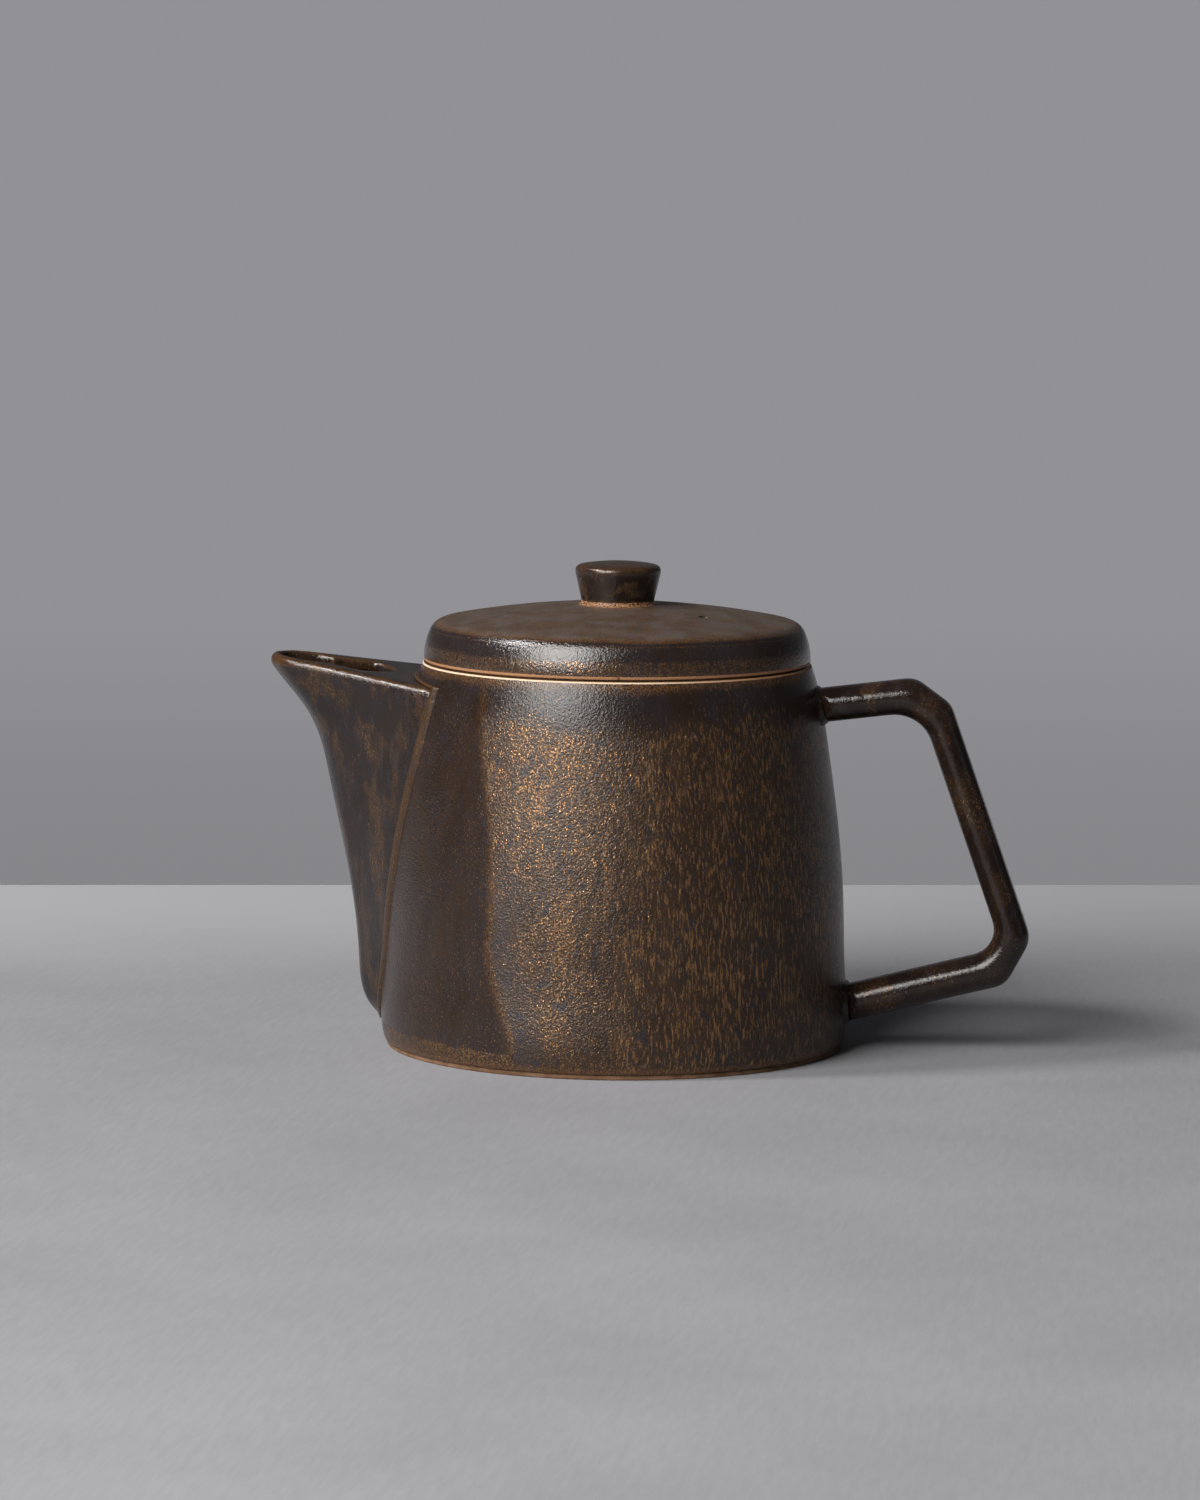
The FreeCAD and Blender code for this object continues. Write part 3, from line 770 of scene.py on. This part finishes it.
def make_bare_clay():
    """Unglazed stoneware with dark iron specks and fine turning lines. Its tan is painted darker than the
    clay's own, as painted shade.
    """
    mix = Mixer("turned_clay")
    clouds = mix.noise(0.2, detail=3.0)
    specks = mix.step(mix.noise(1.7, detail=2.0, offset=13), 0.63, 0.70)
    lines = mix.noise(1.0, (0.05, 0.05, 2.5), detail=2.0, offset=29)
    colour = mix.colour(mix.step(clouds, 0.3, 0.7), clay_buff_darkened_as_shade, glaze_rust)
    colour = mix.colour(mix.times(specks, 0.7), colour, glaze_brown)
    relief = mix.plus(mix.times(lines, 0.03), mix.times(specks, -0.02))
    return mix.finish(colour, 0.0, mix.number(clouds, 0.75, 0.9), relief)


bare_clay = make_bare_clay()
foot_outer = belly_radius - base_inset - foot_inset
foot_outline = fill_in(
    [
        (foot_outer - foot_width, foot_height), (foot_outer - foot_width, 0), (foot_outer, 0),
        (foot_outer, foot_height), (foot_outer - foot_width, foot_height),
    ],
    spacing=0.7,
)
foot_outline = ease(foot_outline, (foot_outer, 0), 0.4, steps=4)
foot_ring = throw("foot", foot_outline, large_segments, unevenness=0.0, finish=bare_clay)
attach(foot_ring, "pot")
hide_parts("foot_ring")

# Strainer
# A pierced dome of the same clay, luted inside the wall over the opening to the spout. It holds the
# leaves back. It is glazed with the inside.


def inside_masks(mix, amounts):
    return {"gold": 0.22, "brown": 0.5, "blue": 0.3, "rough": 0.25}


inside_glaze = glaze("inside_glaze", inside_masks)
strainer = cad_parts["strainer"]
strainer.data.materials.clear()
strainer.data.materials.append(inside_glaze)

# Spout
# The beak is pressed clay, folded round and luted to the wall from the foot to the rim, with a flat
# sloping top that has an egg-shaped pouring hole cut in it. The glaze is thin and mottled on it.
smooth_share = 0.5
node_weld_distance = 0.001
rim_margin = 1.0


def mould(name, node, voxel, rounds, finish):
    """A soft-edged clay copy of a CAD node: merged, rebuilt in even faces and smoothed."""
    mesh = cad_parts[node].data.copy()
    mesh.materials.clear()
    mesh.materials.append(finish)
    work = bmesh.new()
    work.from_mesh(mesh)
    bmesh.ops.remove_doubles(work, verts=work.verts, dist=node_weld_distance * MM)
    work.to_mesh(mesh)
    work.free()
    lump = bpy.data.objects.new(name + "_lump", mesh)
    bpy.context.scene.collection.objects.link(lump)
    even = lump.modifiers.new("even", "REMESH")
    even.mode = "VOXEL"
    even.voxel_size = voxel * MM
    soft = lump.modifiers.new("soft", "SMOOTH")
    soft.factor = smooth_share
    soft.iterations = rounds
    piece = bake_mesh(name, lump)
    tidy_mesh(piece)
    return piece


def lute(piece, reach, depth):
    """Presses what lies near the wall's face into the clay, so that no gap shows along the joint."""
    spots = read_points(piece.data)
    radius = np.hypot(spots[:, 0], spots[:, 1])
    proud = radius / MM - wall_radius(spots[:, 2] / MM)
    share = np.clip(1 - proud / reach, 0, 1) * (spots[:, 2] < (rim_height - rim_margin) * MM)
    spots[:, :2] *= (1 - share * depth * MM / radius)[:, None]
    move_points(piece.data, spots)


def spout_masks(mix, amounts):
    """Violet-grey, with rusty drips that run down from the lip, and few crystals."""
    mottle = mix.step(mix.noise(0.15, (1, 1, 0.38), detail=3.0, roughness=0.62, offset=311), 0.46, 0.60)
    return {
        "gold": mix.number(mottle, 0.14, 0.32),
        "brown": mix.number(mottle, 0.1, 0.5),
        "blue": mix.number(mottle, 0.25, 0.0),
        "rust": mix.times(mottle, 0.2),
        "streak": 0.3,
        "rough": 0.13,
    }


spout_glaze = glaze("spout_glaze", spout_masks, gloss=0.5)
spout = mould("beak", "spout", voxel=0.5, rounds=11, finish=spout_glaze)
lute(spout, reach=0.9, depth=0.8)
measure_edges(spout)
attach(spout, "pot")
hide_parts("spout")

# Spout seam
# A narrow ridge of slip runs down each side of the beak, where it is luted to the wall. The glaze runs
# off it and leaves it tan.


def seam_masks(mix, amounts):
    return {"gold": 0.30, "brown": 0.8, "blue": 0.0, "rust": 0.25, "rough": 0.3}


seam_glaze = glaze("seam_glaze", seam_masks)
spout_seam = mould("beak_seam", "spout_seam", voxel=0.22, rounds=3, finish=seam_glaze)
lute(spout_seam, reach=0.5, depth=0.5)
measure_edges(spout_seam)
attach(spout_seam, "pot")
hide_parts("spout_seam")

# Handle
# A flat strip of clay bent to an angular loop, its outer corners cut off and its edges rounded. Both
# roots are luted to the wall. The glaze is thin and worn to gold along the edges.
handle_half_thickness = 4.8
handle_crown = 0.32
flank_edge_slope = 0.3


def handle_masks(mix, amounts):
    mottle = mix.step(mix.noise(0.12, (1, 1, 0.6), detail=3.0, offset=353), 0.42, 0.58)
    edge = mix.larger(mix.step(amounts["edge"], 0.5, 0.9), mottle)
    return {
        "gold": mix.number(edge, 0.20, 0.35),
        "streak": 0.3,
        "brown": mix.number(mottle, 0.08, 0.28),
        "blue": 0.0,
        "rust": mix.times(edge, 0.12),
        "edge": mix.times(amounts["edge"], 0.6),
        "rough": 0.13,
        "pebble": 0.08,
    }


def crown_flanks(piece, half_thickness, fall):
    """Gives the strip's two flat flanks a crown: the fall is the share that their rims draw in by."""
    rims = [point for point in piece.data.vertices if abs(point.normal.y) < flank_edge_slope]
    nearest = KDTree(len(rims))
    for index, point in enumerate(rims):
        nearest.insert((point.co.x, 0, point.co.z), index)
    nearest.balance()
    for point in piece.data.vertices:
        depth = nearest.find((point.co.x, 0, point.co.z))[2]
        point.co.y *= 1 - fall * (1 - min(depth / (half_thickness * MM), 1)) ** 2
    piece.data.update()


handle = mould("loop_handle", "handle", voxel=0.5, rounds=24, finish=glaze("handle_glaze", handle_masks))
crown_flanks(handle, handle_half_thickness, handle_crown)
lute(handle, reach=0.9, depth=0.8)
measure_edges(handle)
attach(handle, "pot")
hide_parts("handle")

# Handle seams
# A fillet of slip fills the corner round each root of the handle. It was drawn out with a wet finger,
# so it runs out thin along the arm.
handle_width = 13.0
handle_seam_width = 1.5


def draw_out(piece, node):
    """Turns the slip's square ridge into a hollow fillet that thins towards the handle."""
    low, high = (np.array(corner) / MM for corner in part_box(node))
    middle = (low[2] + high[2]) / 2
    spots = read_points(piece.data) / MM
    proud = np.hypot(spots[:, 0], spots[:, 1]) - wall_radius(spots[:, 2])
    thin = np.sqrt(np.clip(proud / handle_seam_width, 0, 1)) * handle_seam_width
    spots[:, 1] *= 1 - thin / (handle_width / 2 + handle_seam_width)
    spots[:, 2] = middle + (spots[:, 2] - middle) * (1 - thin / ((high[2] - low[2]) / 2))
    flat = np.clip(np.abs(spots[:, 2] - middle) / handle_half_thickness, 0, 1)
    spots[:, 1] *= 1 - handle_crown * flat**2 * np.clip(proud / handle_seam_width, 0, 1)
    move_points(piece.data, spots * MM)


def root_masks(mix, amounts):
    return {"gold": 0.24, "brown": 0.2, "blue": 0.0, "edge": 0.0, "rough": 0.16, "pebble": 0.08}


root_glaze = glaze("root_glaze", root_masks)
for name, node in (("upper_root_seam", "handle_upper_seam"), ("lower_root_seam", "handle_lower_seam")):
    root_seam = mould(name, node, voxel=0.25, rounds=6, finish=root_glaze)
    draw_out(root_seam, node)
    lute(root_seam, reach=0.6, depth=0.6)
    measure_edges(root_seam)
    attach(root_seam, "pot")
    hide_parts(node)

# Lid
# A thick disc with a low dome, turned upside down and trimmed. Its side is upright at the foot and leans
# in above, and its lower edge is wiped bare where it meets the rim, above a thin strip of painted shade
# at the very foot. One steam hole is drilled through it.
lid_set_in = 0.1
lid_lean = 3.1
lid_side_height = 11.6
lid_side_bulge = 1.0
lid_crown = 5.3
lid_thickness = 4.6
flange_clearance = 0.6
flange_thickness = 4.5
flange_depth = 7.0
steam_hole_radius = 1.7
steam_hole_reach = 31.8
steam_hole_turn = math.radians(-32)
steam_hole_overrun = 5.0
scuff_x, scuff_y, scuff_rise = 15.0, -19.0, 3.0
scuff_reach = (10.0, 6.0)
lid_bare_over_shade_rises = (0.3, 0.6, 1.0, 1.4)
lid_rust_over_shade_rises = (0.3, 0.7)
lid_rust_heights = (113.4, 112.5)
lid_golden_heights = (117.6, 116.2)
lid_top_rises = (-1.4, 0.4)
lid_shoulder_rises = (-1.6, -0.8, -0.5, 0.3)

lid_radius = rim_radius - lid_set_in
shoulder_radius = lid_radius - lid_lean
shoulder_height = rim_height + lid_side_height
crown_radius = (shoulder_radius**2 + lid_crown**2) / (2 * lid_crown)
crown_top = shoulder_height + lid_crown
scuff_centre = (scuff_x, scuff_y, shoulder_height + scuff_rise)


def crown_height(radius, depth=0.0):
    """Height of the domed top at a radius, or of the surface at a depth under it."""
    return crown_top - crown_radius + math.sqrt((crown_radius - depth) ** 2 - radius**2)


def lid_masks(mix, amounts):
    """A satin brown top greyed partly by painted sheen, a violet-black shoulder and a golden lower side, bare
    at the foot above a thin strip of painted shade.
    """
    wander = mix.minus(mix.noise(0.05, detail=2.0, offset=401), 0.5)
    height = mix.plus(mix.z, mix.times(wander, 1.2))
    top = mix.step(height, *(shoulder_height + rise for rise in lid_top_rises))
    lower = mix.step(height, *lid_golden_heights)
    shoulder = mix.band(height, *(shoulder_height + rise for rise in lid_shoulder_rises))
    # Painted shade: the lowest 0.3 mm of the lid's foot gets neither rust nor bare clay, only the dark glaze.
    foot = mix.step(mix.z, *(rim_height + rise for rise in lid_rust_over_shade_rises))
    foot = mix.times(mix.step(height, *lid_rust_heights), foot)
    top_clouds = mix.step(mix.noise(0.10, detail=4.0, roughness=0.65, offset=433), 0.35, 0.65)
    from_scuff = mix.length(mix.vector("SUBTRACT", mix.place, scuff_centre))
    lines = mix.math("ABSOLUTE", mix.minus(mix.noise(0.13, detail=1.0, offset=467), 0.5))
    scuffs = mix.times(mix.step(lines, 0.024, 0.010), mix.step(from_scuff, *scuff_reach))
    scuffs = mix.times(scuffs, mix.step(mix.noise(0.35, offset=491), 0.46, 0.54))
    # Painted reflection: the top's grey bloom is partly a painted sheen, standing in for the wall mirrored in
    # the satin glaze.
    bloom = mix.times(top, mix.plus(0.10, mix.times(top_clouds, 0.34)))
    return {
        "gold": mix.number(lower, mix.number(top, 0.18, 0.6), 0.47),
        "brown": mix.number(top, mix.number(lower, 0.3, 0.9), 1.0),
        "blue": mix.number(top, 0.6, 0.1),
        "rust": mix.larger(foot, mix.times(shoulder, 0.7)),
        "clay": mix.band(mix.z, *(rim_height + rise for rise in lid_bare_over_shade_rises)),
        "toast": 0.9,
        "bloom": mix.larger(bloom, mix.times(scuffs, 0.8)),
        "rough": mix.number(top, 0.13, 0.42),
    }


flange_radius = mouth_radius - flange_clearance
flange_inner = flange_radius - flange_thickness
lid_side = bow(
    (lid_radius, rim_height),
    ((lid_radius + shoulder_radius) / 2 + lid_side_bulge, rim_height + lid_side_height / 2),
    (shoulder_radius, shoulder_height),
    14,
)
dome_line = [(radius, crown_height(radius)) for radius in np.linspace(shoulder_radius, 0, 40)]
under_line = [(radius, crown_height(radius, lid_thickness)) for radius in np.linspace(0, flange_inner, 32)]
lid_outline = under_line + [(flange_inner, rim_height)] + lid_side + dome_line[1:]
lid_outline = fill_in(lid_outline, spacing=1.3)
lid_outline = ease(lid_outline, (lid_radius, rim_height), 1.1)
lid_outline = ease(lid_outline, (shoulder_radius, shoulder_height), 2.6)
lid_glaze = glaze("lid_glaze", lid_masks, gloss=0.6)
lid = throw("lid_disc", lid_outline, large_segments, unevenness=0.12, finish=lid_glaze)
steam_x = steam_hole_reach * math.cos(steam_hole_turn)
steam_y = steam_hole_reach * math.sin(steam_hole_turn)
steam_top = crown_top + steam_hole_overrun
lid = drill(lid, steam_hole_radius, (steam_x, steam_y, rim_height), (steam_x, steam_y, steam_top))
measure_edges(lid)
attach(lid, "lid")
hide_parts("lid")

# Lid flange
# A ring under the lid that drops into the mouth and keeps the lid from sliding off. It is turned
# with the lid, and wiped clean of glaze before the firing.
flange_foot = rim_height - flange_depth
flange_outline = fill_in(
    [
        (flange_inner, rim_height), (flange_inner, flange_foot), (flange_radius, flange_foot),
        (flange_radius, rim_height), (flange_inner, rim_height),
    ],
    spacing=1.0,
)
flange_outline = ease(flange_outline, (flange_radius, flange_foot), 1.0)
flange_outline = ease(flange_outline, (flange_inner, flange_foot), 0.6)
flange = throw("lid_collar", flange_outline, large_segments, unevenness=0.0, finish=bare_clay)
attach(flange, "lid")
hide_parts("lid_flange")

# Knob
# A flared button, thrown off the hump and luted to the crown. Its glaze is black with clouds of
# rusty gold, and its rounded top edge is worn to gold.
knob_foot_radius = 10.3
knob_top_radius = 12.9
knob_height = 11.2
knob_crown = 1.3
knob_seam_width = 1.2
knob_segments = 128
knob_worn_depth = 3.5
knob_rust_rises = (1.9, 0.9)

knob_foot = crown_height(knob_foot_radius)
knob_shoulder = knob_foot + knob_height
knob_sphere = (knob_top_radius**2 + knob_crown**2) / (2 * knob_crown)


def knob_masks(mix, amounts):
    high = mix.step(mix.z, knob_shoulder - knob_worn_depth, knob_shoulder)
    mottle = mix.larger(high, mix.step(mix.noise(0.3, detail=3.0, offset=521), 0.50, 0.62))
    low = mix.step(mix.z, *(knob_foot + rise for rise in knob_rust_rises))
    return {
        "gold": mix.number(mottle, 0.16, 0.42),
        "brown": mix.number(mottle, 0.05, 0.8),
        "blue": 0.0,
        "edge": mix.times(amounts["edge"], 0.6),
        "rough": 0.12,
        "pebble": 0.12,
        "rust": mix.times(low, 0.8),
    }


knob_outline = [(radius, crown_height(radius)) for radius in np.linspace(0, knob_foot_radius, 12)]
knob_outline += [
    (radius, knob_shoulder + knob_crown - knob_sphere + math.sqrt(knob_sphere**2 - radius**2))
    for radius in np.linspace(knob_top_radius, 0, 18)
]
knob_outline = fill_in(knob_outline, spacing=0.7)
knob_outline = ease(knob_outline, (knob_top_radius, knob_shoulder), 2.4, steps=10)
knob_glaze = glaze("knob_glaze", knob_masks)
knob = throw("lid_knob", knob_outline, knob_segments, unevenness=0.06, finish=knob_glaze)
measure_edges(knob)
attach(knob, "lid")
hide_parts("knob")

# Knob seam
# A thin ring of slip fills the corner round the knob's foot, where the knob is luted on. The glaze
# is thin there, and the tan clay shows through.
ring_hollow_share = 0.18
ring_root_depth = 0.3
ring_reach = knob_foot_radius + knob_seam_width
lean_share = (knob_top_radius - knob_foot_radius) / knob_height
ring_top = (knob_foot_radius + lean_share * knob_seam_width, knob_foot + knob_seam_width)
ring_foot = (ring_reach, crown_height(ring_reach))
ring_hollow = knob_seam_width * ring_hollow_share
ring_middle = tuple((high + low) / 2 - ring_hollow for high, low in zip(ring_top, ring_foot))


def ring_masks(mix, amounts):
    return {"clay": 0.5, "toast": 0.8, "edge": 0.0, "rust": 1.0, "rough": 0.14}


ring_root = (knob_foot_radius - ring_root_depth, knob_foot)
ring_outline = [ring_root] + bow(ring_foot, ring_middle, ring_top, 8) + [ring_root]
ring_glaze = glaze("ring_glaze", ring_masks)
knob_seam = throw("knob_ring", ring_outline, knob_segments, unevenness=0.0, finish=ring_glaze)
measure_edges(knob_seam)
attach(knob_seam, "lid")
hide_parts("knob_seam")
